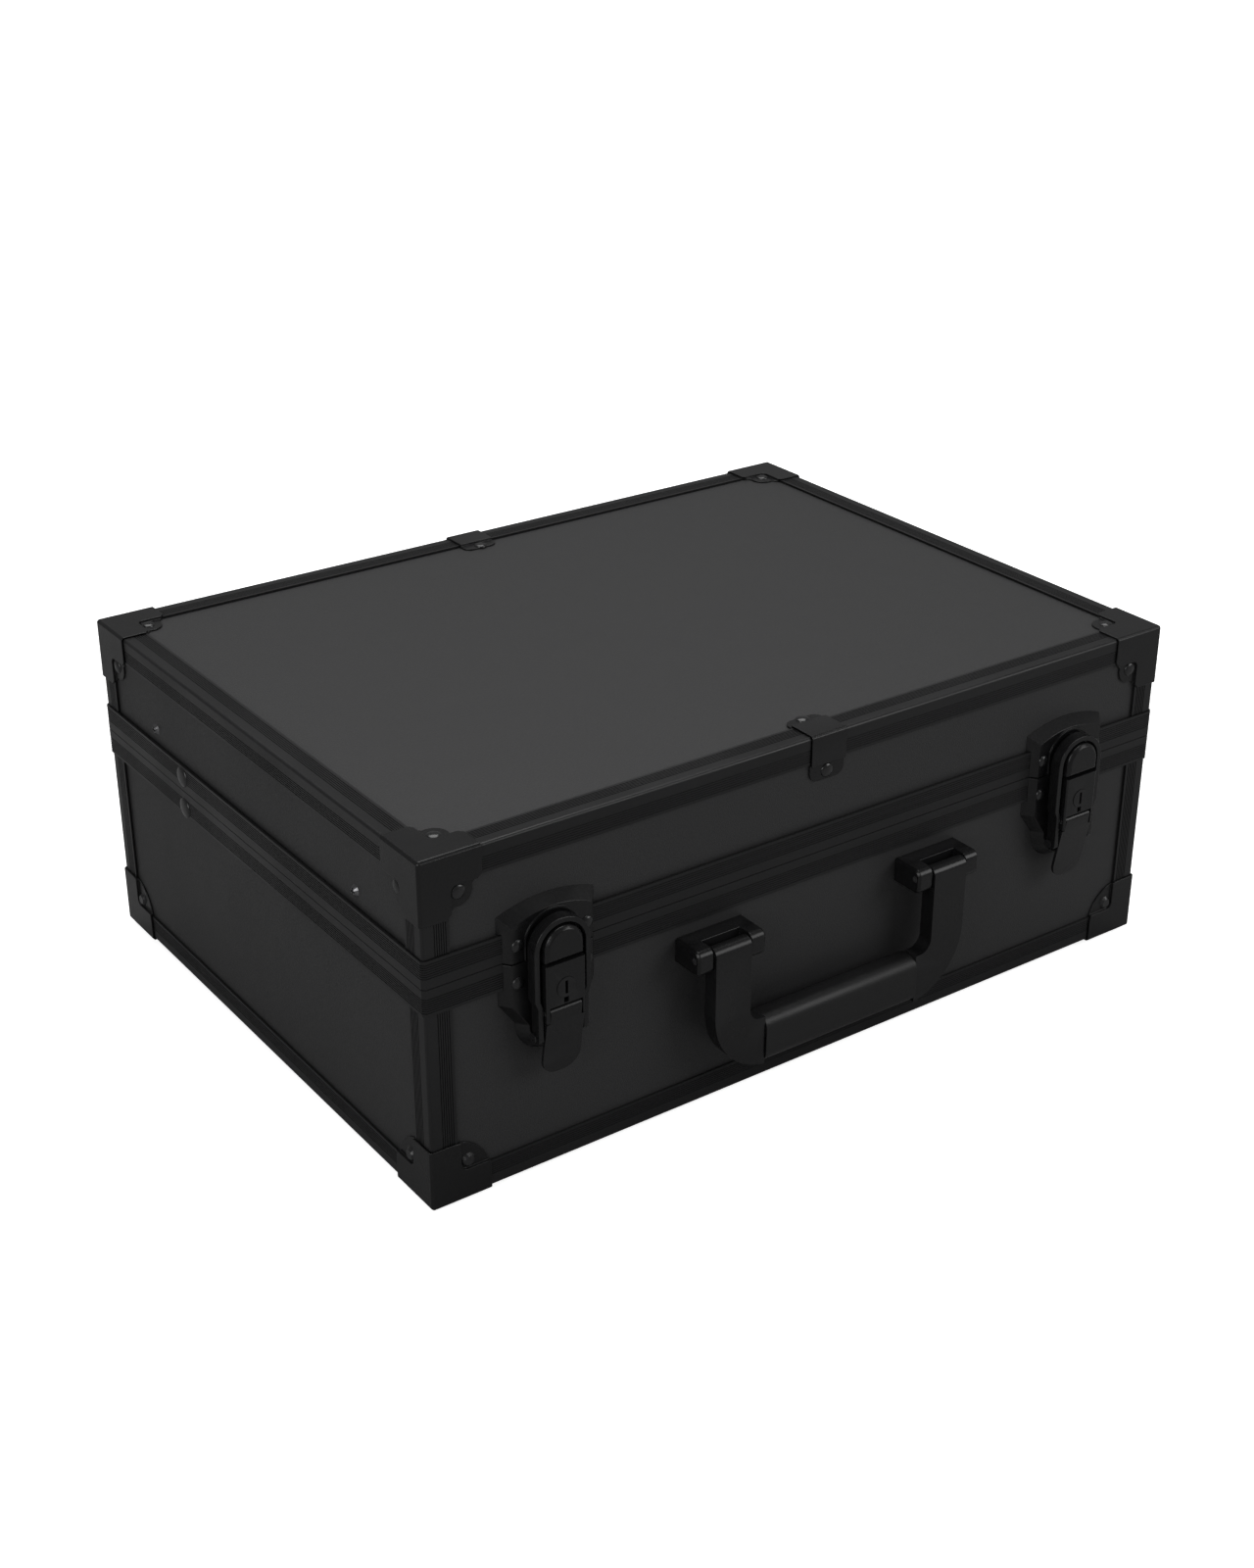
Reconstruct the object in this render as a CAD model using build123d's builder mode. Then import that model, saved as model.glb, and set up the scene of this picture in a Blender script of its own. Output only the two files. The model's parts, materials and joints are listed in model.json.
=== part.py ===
from build123d import *
import os
from math import acos, atan2, cos, degrees, hypot, radians, sin

os.makedirs("parts", exist_ok=True)

# All lengths are millimetres, +Z is up and the latches face -Y.
# A depth is measured inward from the outer plane of the corner caps, and a negative depth stands proud.
# A level is a height over the parting line between base and lid.

# The closed case over its corner caps
CASE_W = 450.0
CASE_D = 330.0
CASE_H = 180.0
BASE_H = 117.0
FOOT_DROP = 3.0

# Boards and the edge extrusions that hold them
CAP_T = 1.0
TRIM_T = 0.9
TRIM_LEG = 15.0
TRIM_ROUND = 1.5
SHADOW_GAP = 0.5
BOARD_T = 3.0
BOARD_PLAY = 0.1
CHANNEL_T = 1.0
CHANNEL_LEG = 13.0
MITRE_GAP = 0.1
BUTT_GAP = 0.3
GROOVE_W = 0.5
GROOVE_DEPTH = 0.35
GROOVE_PITCH = 1.15
TRIM_GROOVES = 6
TRIM_GROOVE_START = 7.2

# Rim extrusions at the parting line, with a tongue on the base that enters a groove in the lid
RIM_DEPTH = 0.2
RIM_T = 1.4
RIM_ROUND = 1.6
RIM_GROOVES = 7
LID_RIM_H = 14.0
BASE_RIM_H = 13.5
RIM_LIP = 1.6
PARTING_GAP = 0.4
TONGUE_H = 4.0
TONGUE_T = 1.5
TONGUE_SIDE_PLAY = 1.0
TONGUE_TOP_PLAY = 0.8
WEB_T = 1.4

# Pressed corner caps and the clamps over the middle of the lid's long edges
CAP_LEG = 32.0
CAP_EDGE_ROUND = 1.2
LID_CAP_CUT = 18.0
BASE_CAP_ROUND = 21.0
CAP_STEP_ROUND = 3.0
CAP_STEP_CLEAR = 0.2
CAP_RIVET_SET = 20.3
CLAMP_W = 21.0
CLAMP_WALL_LEG = 25.0
CLAMP_TOP_LEG = 23.0
CLAMP_RIVET_SET = 20.5
CLAMP_END_ROUND = 5.0

# Rivets and screws
RIVET_HEAD_R = 3.7
RIVET_HEAD_H = 1.3
RIVET_R = 1.6
RIVET_TAIL_R = 3.0
RIVET_TAIL_H = 1.0
HEAD_SIDES = 14
HEAD_TAPER = 45.0
SHANK_SIDES = 8
LATCH_RIVET_HEAD_R = 3.2
STAY_RIVET_HEAD_R = 5.5
BRACKET_RIVET_L = 8.0
HOLE_PLAY = 0.05
SCREW_HEAD_R = 3.2
SCREW_HEAD_H = 1.6
SCREW_R = 1.5
CROSS_L = 3.4
CROSS_W = 0.8
CROSS_DEPTH = 0.9
SIDE_SCREW_SET = 61.0
SIDE_SCREW_LEVEL = 21.8

# Linings
LINING_T = 3.0
LINING_PLAY = 0.3
LINING_RIM_GAP = 2.5

# Draw latches with a key lock
LATCH_SET = 65.0
PLATE_W = 52.0
PLATE_T = 1.2
PLATE_RISE = 3.4
PLATE_FLANK = 4.5
PLATE_SHOULDER = 23.0
PLATE_TOP = 28.0
PLATE_WAIST_START = 22.0
PLATE_WAIST_END = 34.0
PLATE_LOW_W = 35.0
PLATE_BOTTOM = 52.3
PLATE_SPLIT = 0.4
RIM_PLAY = 0.2
LATCH_RIVET_X = 18.5
STRIKE_RIVET_LEVEL = 9.0
BASE_RIVET_LEVEL = -10.0
LOCK_W = 21.0
LOCK_RISE = 14.0
LOCK_T = 1.4
LOCK_TOP = 0.1
LOCK_BOTTOM = 21.6
LOCK_CHEEK = 29.4
LOCK_CHEEK_T = 1.6
CYLINDER_R = 5.0
CYLINDER_LEVEL = -13.0
CYLINDER_PROUD = 0.3
CYLINDER_L = 8.0
KEYWAY_W = 1.4
KEYWAY_H = 6.6
KEYWAY_DEPTH = 5.6
CATCH_W = 20.6
CATCH_FOOT = 0.9
CATCH_BEVEL = 1.5
RIDGE_SET = 5.4
RIDGE_W = 1.2
RIDGE_H = 0.7
LOCK_EDGE_R = 1.0
LOCK_MARK_W = 2.5
LOCK_MARK_H = 3.0
CAM_REACH = 7.0
CAM_W = 4.0
CAM_T = 1.5
CHEEK_PLAY = 0.8
CATCH_TOP = 17.4
LEVER_PIVOT_RISE = 11.8
LEVER_PIVOT_LEVEL = -24.8
LEVER_ROLL_R = 2.2
LEVER_T = 1.6
LEVER_NECK_W = 16.8
LEVER_W = 20.4
LEVER_DROP = 35.2
LEVER_CREASE = 14.0
LEVER_SLOPE = 2.6
LEVER_BEND = 3.2
LEVER_EAR_T = 1.6
LEVER_EAR_ROOT = -1.0
LEVER_END_R = 8.5
LEVER_NECK_IN = 0.6
LEVER_PIN_R = 1.2
BAIL_PIN_IN = 4.0
BAIL_PIN_DROP = 13.2
BAIL_PIN_R = 1.25
BAIL_ROD = 2.8
BAIL_DEPTH = 6.2
BAIL_FRONT = 4.0
BAIL_SIDE_PLAY = 0.5
BAIL_TOP_PLAY = 0.9
BAIL_KINK = 16.0
BAIL_ARCH_PLAY = 1.9
BAIL_HEAD_R = 2.4
BAIL_HEAD_PLAY = 0.1
BAIL_TAIL_R = 1.9
BAIL_TAIL_H = 0.8
BAIL_JOGGLE = 4.0
BAIL_HEAD_H = 1.0
EAR_R = 2.8
PIN_PLAY = 0.05

# Carrying handle
BRACKET_X = 68.0
BRACKET_W = 40.0
BRACKET_TOP = 20.5
BRACKET_H = 13.5
BRACKET_RISE = 16.2
BRACKET_SLOT_RISE = 6.5
ARM_W = 21.0
ARM_T = 8.6
ARM_SIDE_PLAY = 0.8
HANDLE_PIVOT_RISE = 13.1
HANDLE_PIVOT_DROP = 25.7
HANDLE_DROP = 95.0
HANDLE_CORNER_R = 36.0
HANDLE_INNER_R = 7.0
HANDLE_PIN_R = 1.6
GRIP_W = 96.0
GRIP_H = 25.5
GRIP_LIP = 3.0
GRIP_OUT = 18.6
GRIP_BACK = 3.5
GRIP_ROUND = 6.0
GRIP_PLAY = 0.1
BAR_H = 27.0
BRACKET_NOSE_R = 4.0
BRACKET_EDGE_R = 1.2
ARM_TOP_FLAT = 0.1

# Back hinges
HINGE_SET = 85.0
HINGE_W = 50.0
LEAF_T = 1.2
LEAF_H = 30.0
KNUCKLE_R = 3.0
KNUCKLES = 5
KNUCKLE_GAP = 0.3
KNUCKLE_CLEAR = 0.4
HINGE_PIN_R = 1.5
LEAF_RIVET_X = 17.0
LEAF_NEAR_RIVET = 8.5
LEAF_FAR_RIVET = 23.0

# Folding stays between base and lid, two bars on each side
STAY_SET = 93.0
STAY_LID_LEVEL = 8.0
STAY_BASE_LEVEL = -9.5
STAY_BAR_L = 85.0
STAY_BAR_W = 11.0
STAY_BAR_T = 1.5
STAY_PLAY = 0.35
STAY_PIVOT_R = 2.0
STAY_TAIL_R = 3.2
ELBOW_HEAD_H = 0.9

# Feet and the small brackets inside the lid
FOOT_SET = 45.0
FOOT_R = 8.5
FOOT_TAPER = 1.0
FOOT_RECESS_R = 4.0
FOOT_RECESS = 2.2
BRACKET_LEG = 14.0
INSERT_BRACKET_W = 16.0
INSERT_BRACKET_T = 1.2
INSERT_BRACKET_H = 11.5
NOTCH_PLAY = 1.5

# Depths that follow from the sheet, the trims and the boards
TRIM_DEPTH = CAP_T
BOARD_OUT = TRIM_DEPTH + TRIM_T + SHADOW_GAP
BOARD_IN = BOARD_OUT + BOARD_T
CHANNEL_IN = BOARD_IN + BOARD_PLAY
CHANNEL_BACK = CHANNEL_IN + CHANNEL_T
BOARD_EDGE = CHANNEL_BACK + BOARD_PLAY
RIM_IN = RIM_DEPTH + RIM_T
RIM_INNER_FACE = CHANNEL_IN + RIM_T
LINING_OUT = CHANNEL_BACK + LINING_PLAY
CAP_SEAT = BOARD_OUT - CAP_T
STEP_IN = TRIM_LEG + CAP_STEP_CLEAR

# The box of the whole case is centred on the origin, with the feet on the floor
HINGE_PIN_RISE = KNUCKLE_R + KNUCKLE_CLEAR - RIM_DEPTH
FRONT_REACH = GRIP_OUT
BACK_REACH = HINGE_PIN_RISE + KNUCKLE_R
Y_FRONT = FRONT_REACH - (CASE_D + FRONT_REACH + BACK_REACH) / 2
Y_BACK = Y_FRONT + CASE_D
Y_MID = (Y_FRONT + Y_BACK) / 2
Z_BOTTOM = FOOT_DROP
Z_TOP = Z_BOTTOM + CASE_H
PARTING = Z_BOTTOM + BASE_H
LID_H = CASE_H - BASE_H
HALF_W = CASE_W / 2
HALF_D = CASE_D / 2
LATCH_X = HALF_W - LATCH_SET
HINGE_X = HALF_W - HINGE_SET
SIDE_SCREW_SPAN = HALF_D - SIDE_SCREW_SET
LID_BOARD_LOW = TONGUE_H + TONGUE_TOP_PLAY + WEB_T + BOARD_PLAY
BASE_BOARD_HIGH = -WEB_T - BOARD_PLAY
CORNER = (Align.MIN, Align.MIN)
MID_PLANE = Plane.XZ.offset(-Y_MID)
SIDES = (("left", -1), ("right", 1))


def front(depth=0.0, x=0.0):
    """The front wall's plane: X to the right, Y up from the parting line, Z outward."""
    return Plane((x, Y_FRONT + depth, PARTING), x_dir=(1, 0, 0), z_dir=(0, -1, 0))


def back(depth=0.0, x=0.0):
    """The back wall's plane, seen from outside, so its X runs to the case's left."""
    return Plane((x, Y_BACK - depth, PARTING), x_dir=(-1, 0, 0), z_dir=(0, 1, 0))


def wall(side, depth=0.0):
    """An end wall's plane, -1 for the left and 1 for the right, with Y up and Z outward."""
    return Plane((side * (HALF_W - depth), Y_MID, PARTING), x_dir=(0, side, 0), z_dir=(side, 0, 0))


def top(depth=0.0):
    """The lid's top plane, centred on the case."""
    return Plane((0, Y_MID, Z_TOP - depth), x_dir=(1, 0, 0), z_dir=(0, 0, 1))


def bottom(depth=0.0):
    """The underside's plane, seen from below."""
    return Plane((0, Y_MID, Z_BOTTOM + depth), x_dir=(1, 0, 0), z_dir=(0, 0, -1))


def side_section(x=0.0):
    """A section across the front wall at x: X is the rise off the caps' plane, Y the level."""
    return Plane((x, Y_FRONT, PARTING), x_dir=(0, -1, 0), z_dir=(-1, 0, 0))


def back_section(x=0.0):
    """A section across the back wall at x: X is the rise off the caps' plane, Y the level."""
    return Plane((x, Y_BACK, PARTING), x_dir=(0, 1, 0), z_dir=(1, 0, 0))


def on(face, spots):
    """Places on a face, given by points in that face."""
    return [face.location * Location((x, y, 0)) for x, y in spots]


def shank_hole(mode=Mode.ADD):
    """A rivet hole in a sketch, with the shank's flats."""
    RegularPolygon(RIVET_R + HOLE_PLAY, SHANK_SIDES, mode=mode)


def save(part, name):
    """Label a finished piece and write its file."""
    part.label = name
    export_step(part, f"parts/{name}.step")


# Where the fasteners go, as points on the walls
corner_x = (-HALF_W + CAP_RIVET_SET, HALF_W - CAP_RIVET_SET)
corner_y = (-HALF_D + CAP_RIVET_SET, HALF_D - CAP_RIVET_SET)
LID_CAP_LEVEL = LID_H - CAP_RIVET_SET
BASE_CAP_LEVEL = CAP_RIVET_SET - BASE_H
flat_cap_spots = [(x, y) for x in corner_x for y in corner_y]
lid_long_spots = [(x, LID_CAP_LEVEL) for x in corner_x]
lid_short_spots = [(y, LID_CAP_LEVEL) for y in corner_y]
base_long_spots = [(x, BASE_CAP_LEVEL) for x in corner_x]
base_short_spots = [(y, BASE_CAP_LEVEL) for y in corner_y]
clamp_wall_spot = (0, LID_H - CLAMP_RIVET_SET)
clamp_top_spots = [(0, side * (HALF_D - CLAMP_RIVET_SET)) for side in (-1, 1)]
latch_rivet_x = [s * LATCH_X + t * LATCH_RIVET_X for s in (-1, 1) for t in (-1, 1)]
strike_spots = [(x, STRIKE_RIVET_LEVEL) for x in latch_rivet_x]
base_plate_spots = [(x, BASE_RIVET_LEVEL) for x in latch_rivet_x]
leaf_far_x = [s * HINGE_X + t * LEAF_RIVET_X for s in (-1, 1) for t in (-1, 1)]
leaf_near_x = [s * HINGE_X for s in (-1, 1)]
stay_y = HALF_D - STAY_SET
screw_spots = [(s * SIDE_SCREW_SPAN, SIDE_SCREW_LEVEL) for s in (-1, 1)]
foot_spots = [(x * (HALF_W - FOOT_SET), y * (HALF_D - FOOT_SET)) for x in (-1, 1) for y in (-1, 1)]
bracket_screw_x = [s * BRACKET_X + t * (BRACKET_W + ARM_W) / 4 for s in (-1, 1) for t in (-1, 1)]
BRACKET_SCREW_LEVEL = -BRACKET_TOP - BRACKET_H / 2
bracket_screw_spots = [(x, BRACKET_SCREW_LEVEL) for x in bracket_screw_x]


def board(face, width, low, high, spots, pivots=()):
    """A flat board with its outer side on the face, drilled for rivets at the spots and for stay pivots."""
    with BuildPart() as piece:
        with BuildSketch(face):
            with Locations((0, (low + high) / 2)):
                Rectangle(width, high - low)
            with Locations(*spots):
                shank_hole(Mode.SUBTRACT)
            for spot in pivots:
                with Locations(spot):
                    Circle(STAY_PIVOT_R + HOLE_PLAY, mode=Mode.SUBTRACT)
        extrude(amount=-BOARD_T)
    return piece.part


long_board = CASE_W - 2 * BOARD_EDGE
short_board = CASE_D - 2 * BOARD_EDGE
LID_BOARD_HIGH = LID_H - BOARD_EDGE
BASE_BOARD_LOW = BOARD_EDGE - BASE_H
strike_and_caps = lid_long_spots + [clamp_wall_spot] + strike_spots
lid_back_spots = lid_long_spots + [clamp_wall_spot]
lid_back_spots += [(x, LEAF_FAR_RIVET) for x in leaf_far_x] + [(x, LEAF_NEAR_RIVET) for x in leaf_near_x]
base_front_spots = base_long_spots + base_plate_spots + bracket_screw_spots
base_back_spots = base_long_spots + [(x, -LEAF_FAR_RIVET) for x in leaf_far_x]
base_back_spots += [(x, -LEAF_NEAR_RIVET) for x in leaf_near_x]

lid_top_panel = board(top(BOARD_OUT), long_board, -short_board / 2, short_board / 2,
                      flat_cap_spots + clamp_top_spots)
lid_front_panel = board(front(BOARD_OUT), long_board, LID_BOARD_LOW, LID_BOARD_HIGH, strike_and_caps)
lid_back_panel = board(back(BOARD_OUT), long_board, LID_BOARD_LOW, LID_BOARD_HIGH, lid_back_spots)
base_bottom_panel = board(bottom(BOARD_OUT), long_board, -short_board / 2, short_board / 2,
                          flat_cap_spots + foot_spots)
base_front_panel = board(front(BOARD_OUT), long_board, BASE_BOARD_LOW, BASE_BOARD_HIGH, base_front_spots)
base_back_panel = board(back(BOARD_OUT), long_board, BASE_BOARD_LOW, BASE_BOARD_HIGH, base_back_spots)
save(lid_top_panel, "lid_top_panel")
save(lid_front_panel, "lid_front_panel")
save(lid_back_panel, "lid_back_panel")
save(base_bottom_panel, "base_bottom_panel")
save(base_front_panel, "base_front_panel")
save(base_back_panel, "base_back_panel")
for name, side in SIDES:
    stay_x = side * stay_y
    lid_end = board(wall(side, BOARD_OUT), short_board, LID_BOARD_LOW, LID_BOARD_HIGH,
                    lid_short_spots + screw_spots, [(stay_x, STAY_LID_LEVEL)])
    base_end = board(wall(side, BOARD_OUT), short_board, BASE_BOARD_LOW, BASE_BOARD_HIGH,
                     base_short_spots, [(stay_x, STAY_BASE_LEVEL)])
    save(lid_end, f"lid_{name}_panel")
    save(base_end, f"base_{name}_panel")


def edge_profile():
    """Section of an edge extrusion: a hollow corner with an outer and an inner flange for each board."""
    leg = TRIM_LEG - TRIM_DEPTH
    tube = CHANNEL_BACK - TRIM_DEPTH
    hollow = CHANNEL_IN - TRIM_DEPTH - TRIM_T
    inner_leg = CHANNEL_LEG - CHANNEL_IN
    with Locations((TRIM_DEPTH, TRIM_DEPTH)):
        Rectangle(leg, TRIM_T, align=CORNER)
        Rectangle(TRIM_T, leg, align=CORNER)
        Rectangle(tube, tube, align=CORNER)
    with Locations((CHANNEL_IN, CHANNEL_IN)):
        Rectangle(inner_leg, CHANNEL_T, align=CORNER)
        Rectangle(CHANNEL_T, inner_leg, align=CORNER)
    with Locations((TRIM_DEPTH + TRIM_T, TRIM_DEPTH + TRIM_T)):
        Rectangle(hollow, hollow, align=CORNER, mode=Mode.SUBTRACT)
    for i in range(TRIM_GROOVES):
        start = TRIM_GROOVE_START + i * GROOVE_PITCH
        with Locations((start, TRIM_DEPTH)):
            Rectangle(GROOVE_W, GROOVE_DEPTH, align=CORNER, mode=Mode.SUBTRACT)
        with Locations((TRIM_DEPTH, start)):
            Rectangle(GROOVE_DEPTH, GROOVE_W, align=CORNER, mode=Mode.SUBTRACT)
    fillet(vertices().sort_by(lambda v: v.X + v.Y)[0:1], TRIM_ROUND)


def edge_bar(length):
    """An edge extrusion along X with its corner on that axis, mitred at both ends."""
    section = Plane((-length / 2, 0, 0), x_dir=(0, 1, 0), z_dir=(-1, 0, 0))
    with BuildPart() as bar:
        with BuildSketch(section):
            edge_profile()
        extrude(amount=-length)
        for side in (-1, 1):
            end = side * (length - MITRE_GAP) / 2
            split(bisect_by=Plane((end, 0, 0), z_dir=(side, 1, 0)), keep=Keep.BOTTOM)
    return bar.part


with BuildPart() as lid_edge_trims:
    with Locations(Location((0, Y_FRONT, Z_TOP)), Location((0, Y_BACK, Z_TOP), (0, 0, 180))):
        add(edge_bar(CASE_W))
    with Locations(Location((-HALF_W, Y_MID, Z_TOP), (0, 0, -90)), Location((HALF_W, Y_MID, Z_TOP), (0, 0, 90))):
        add(edge_bar(CASE_D))
save(lid_edge_trims.part, "lid_edge_trims")

with BuildPart() as base_edge_trims:
    mirror(lid_edge_trims.part, about=Plane.XY.offset((Z_TOP + Z_BOTTOM) / 2))
save(base_edge_trims.part, "base_edge_trims")


def corner_posts(low, high):
    """The four upright corner extrusions between two heights."""
    with BuildPart() as posts:
        with BuildSketch(Plane((-HALF_W, Y_FRONT, low))):
            edge_profile()
        extrude(amount=high - low)
        mirror(about=Plane.YZ)
        mirror(about=MID_PLANE)
    return posts.part


LID_RIM_TOP = PARTING_GAP + LID_RIM_H
lid_post_low = PARTING + LID_RIM_TOP + BUTT_GAP
lid_post_high = Z_TOP - TRIM_LEG - BUTT_GAP
base_post_low = Z_BOTTOM + TRIM_LEG + BUTT_GAP
base_post_high = PARTING - BASE_RIM_H - BUTT_GAP
save(corner_posts(lid_post_low, lid_post_high), "lid_corner_trims")
save(corner_posts(base_post_low, base_post_high), "base_corner_trims")


def ring(low, high, outer, inner, round_r=0.0, mode=Mode.ADD):
    """A band of the case's outline between two levels and two depths."""
    with BuildSketch(Plane((0, Y_MID, PARTING + low))) as band:
        if round_r:
            Rectangle(CASE_W - 2 * outer, CASE_D - 2 * outer)
            chamfer(vertices(), round_r)
        else:
            Rectangle(CASE_W - 2 * outer, CASE_D - 2 * outer)
        Rectangle(CASE_W - 2 * inner, CASE_D - 2 * inner, mode=Mode.SUBTRACT)
    extrude(band.sketch, amount=high - low, mode=mode)


def rim_grooves(first_level):
    """Fine grooves round the outside of a rim, upward from a level."""
    for i in range(RIM_GROOVES):
        low = first_level + i * GROOVE_PITCH
        with BuildSketch(Plane((0, Y_MID, PARTING + low))) as groove:
            Rectangle(CASE_W, CASE_D)
            floor_set = 2 * (RIM_DEPTH + GROOVE_DEPTH)
            with BuildSketch(mode=Mode.SUBTRACT):
                Rectangle(CASE_W - floor_set, CASE_D - floor_set)
                chamfer(vertices(), RIM_ROUND)
        extrude(groove.sketch, amount=GROOVE_W, mode=Mode.SUBTRACT)


def drill_rim(face, spots, pivots=()):
    """Holes through a rim at points on a wall, for rivets and for stay pivots."""
    with BuildSketch(face) as holes:
        for spot in spots:
            with Locations(spot):
                shank_hole()
        for spot in pivots:
            with Locations(spot):
                Circle(STAY_PIVOT_R + HOLE_PLAY)
    extrude(holes.sketch, amount=-RIM_INNER_FACE - 1, mode=Mode.SUBTRACT)


groove_band = (RIM_GROOVES - 1) * GROOVE_PITCH + GROOVE_W
with BuildPart() as lid_rim:
    ring(PARTING_GAP, LID_RIM_TOP, RIM_DEPTH, RIM_IN, RIM_ROUND)
    ring(PARTING_GAP, LID_RIM_TOP, CHANNEL_IN, RIM_INNER_FACE)
    ring(TONGUE_H + TONGUE_TOP_PLAY, TONGUE_H + TONGUE_TOP_PLAY + WEB_T, RIM_IN, CHANNEL_IN)
    rim_grooves(LID_RIM_TOP - RIM_LIP - groove_band)
    drill_rim(front(), strike_spots)
    drill_rim(back(), [(x, LEAF_NEAR_RIVET) for x in leaf_near_x])
    for name, side in SIDES:
        drill_rim(wall(side), [], [(side * stay_y, STAY_LID_LEVEL)])
save(lid_rim.part, "lid_rim")

tongue_out = RIM_IN + TONGUE_SIDE_PLAY
with BuildPart() as base_rim:
    ring(-BASE_RIM_H, 0, RIM_DEPTH, RIM_IN, RIM_ROUND)
    ring(-BASE_RIM_H, 0, CHANNEL_IN, RIM_INNER_FACE)
    ring(-WEB_T, 0, RIM_IN, CHANNEL_IN)
    ring(0, TONGUE_H, tongue_out, tongue_out + TONGUE_T)
    rim_grooves(-BASE_RIM_H + RIM_LIP)
    drill_rim(front(), base_plate_spots)
    drill_rim(back(), [(x, -LEAF_NEAR_RIVET) for x in leaf_near_x])
    for name, side in SIDES:
        drill_rim(wall(side), [], [(side * stay_y, STAY_BASE_LEVEL)])
save(base_rim.part, "base_rim")


def corner_cap(is_lid):
    """A pressed cap for the corner at the origin, stepped from the extrusions down to the boards."""
    faces = (Plane.XY, Plane.YZ, Plane.ZX)
    with BuildPart() as cap:
        for face in faces:
            with BuildSketch(face):
                Rectangle(CAP_LEG, CAP_LEG, align=CORNER)
                far = vertices().sort_by(lambda v: v.X + v.Y)[-1:]
                if is_lid:
                    chamfer(far, LID_CAP_CUT)
                    with Locations((CAP_RIVET_SET, CAP_RIVET_SET)):
                        Circle(2 * RIVET_HEAD_R)
                else:
                    fillet(far, BASE_CAP_ROUND)
            extrude(amount=BOARD_OUT)
        near = edges().filter_by(lambda e: sum(abs(c) < 1e-6 for c in (e @ 0.5)) == 2)
        chamfer(near, CAP_EDGE_ROUND)
        for face in faces:
            with BuildSketch(face.offset(CAP_T)):
                with Locations((CAP_T, CAP_T)):
                    Rectangle(CAP_LEG, CAP_LEG, align=CORNER)
                with Locations((STEP_IN, STEP_IN)):
                    Rectangle(CAP_LEG, CAP_LEG, align=CORNER, mode=Mode.SUBTRACT)
            extrude(amount=BOARD_OUT - CAP_T, mode=Mode.SUBTRACT)
            with BuildSketch(face):
                with Locations((STEP_IN + CAP_T, STEP_IN + CAP_T)):
                    Rectangle(CAP_LEG, CAP_LEG, align=CORNER)
                    fillet(vertices().sort_by(lambda v: v.X + v.Y)[:1], CAP_STEP_ROUND)
            extrude(amount=CAP_SEAT, mode=Mode.SUBTRACT)
            with BuildSketch(face):
                with Locations((CAP_RIVET_SET, CAP_RIVET_SET)):
                    shank_hole()
            extrude(amount=BOARD_OUT, mode=Mode.SUBTRACT)
    return cap.part


def four_corners(piece):
    """The piece at all four corners, from the one at the front left."""
    with BuildPart() as pieces:
        add(piece)
        mirror(about=Plane.YZ)
        mirror(about=MID_PLANE)
    return pieces.part


lid_cap = mirror(corner_cap(True), about=Plane.XY).moved(Location((-HALF_W, Y_FRONT, Z_TOP)))
base_cap = corner_cap(False).moved(Location((-HALF_W, Y_FRONT, Z_BOTTOM)))
save(four_corners(lid_cap), "lid_corner_caps")
save(four_corners(base_cap), "base_corner_caps")

# Clamp section: over both flanges of the edge extrusion, stepped down to the boards
clamp_section = Plane((-CLAMP_W / 2, Y_FRONT, Z_TOP), x_dir=(0, 1, 0), z_dir=(1, 0, 0))
with BuildPart() as lid_edge_clamps:
    with BuildSketch(clamp_section):
        with BuildLine():
            Polyline((0, 0), (CLAMP_TOP_LEG, 0), (CLAMP_TOP_LEG, -BOARD_OUT), (BOARD_OUT, -BOARD_OUT),
                     (BOARD_OUT, -CLAMP_WALL_LEG), (0, -CLAMP_WALL_LEG), close=True)
        make_face()
        chamfer(vertices().sort_by(lambda v: v.Y - v.X)[-1:], CAP_EDGE_ROUND)
        with Locations((CAP_T, -STEP_IN)):
            Rectangle(BOARD_OUT - CAP_T, STEP_IN - CAP_T, align=CORNER, mode=Mode.SUBTRACT)
            Rectangle(STEP_IN - CAP_T, STEP_IN - CAP_T, align=CORNER, mode=Mode.SUBTRACT)
        with Locations((0, -CLAMP_WALL_LEG)):
            Rectangle(CAP_SEAT, CLAMP_WALL_LEG - STEP_IN - CAP_T, align=CORNER, mode=Mode.SUBTRACT)
        with Locations((STEP_IN + CAP_T, -CAP_SEAT)):
            Rectangle(CLAMP_TOP_LEG, CAP_SEAT, align=CORNER, mode=Mode.SUBTRACT)
    extrude(amount=CLAMP_W)
    fillet(edges().filter_by(Axis.Z).sort_by(Axis.Y)[-2:], CLAMP_END_ROUND)
    fillet(edges().filter_by(Axis.Y).sort_by(Axis.Z)[:2], CLAMP_END_ROUND)
    with BuildSketch(front()):
        with Locations(clamp_wall_spot):
            shank_hole()
    extrude(amount=-BOARD_OUT, mode=Mode.SUBTRACT)
    with BuildSketch(top()):
        with Locations(clamp_top_spots[0]):
            shank_hole()
    extrude(amount=-BOARD_OUT, mode=Mode.SUBTRACT)
    mirror(about=MID_PLANE)
save(lid_edge_clamps.part, "lid_edge_clamps")


def stud(grip, head_r=RIVET_HEAD_R, head_h=RIVET_HEAD_H, shank_r=RIVET_R, tail_r=RIVET_TAIL_R):
    """One fastener along Z: the head sits on Z = 0 and the tail under the grip."""
    with BuildPart() as piece:
        with BuildSketch():
            RegularPolygon(head_r, HEAD_SIDES)
        extrude(amount=head_h, taper=HEAD_TAPER)
        with BuildSketch():
            RegularPolygon(shank_r, SHANK_SIDES)
        extrude(amount=-grip)
        with BuildSketch(Plane.XY.offset(-grip)):
            RegularPolygon(tail_r, SHANK_SIDES)
        extrude(amount=-RIVET_TAIL_H)
    return piece.part


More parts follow.
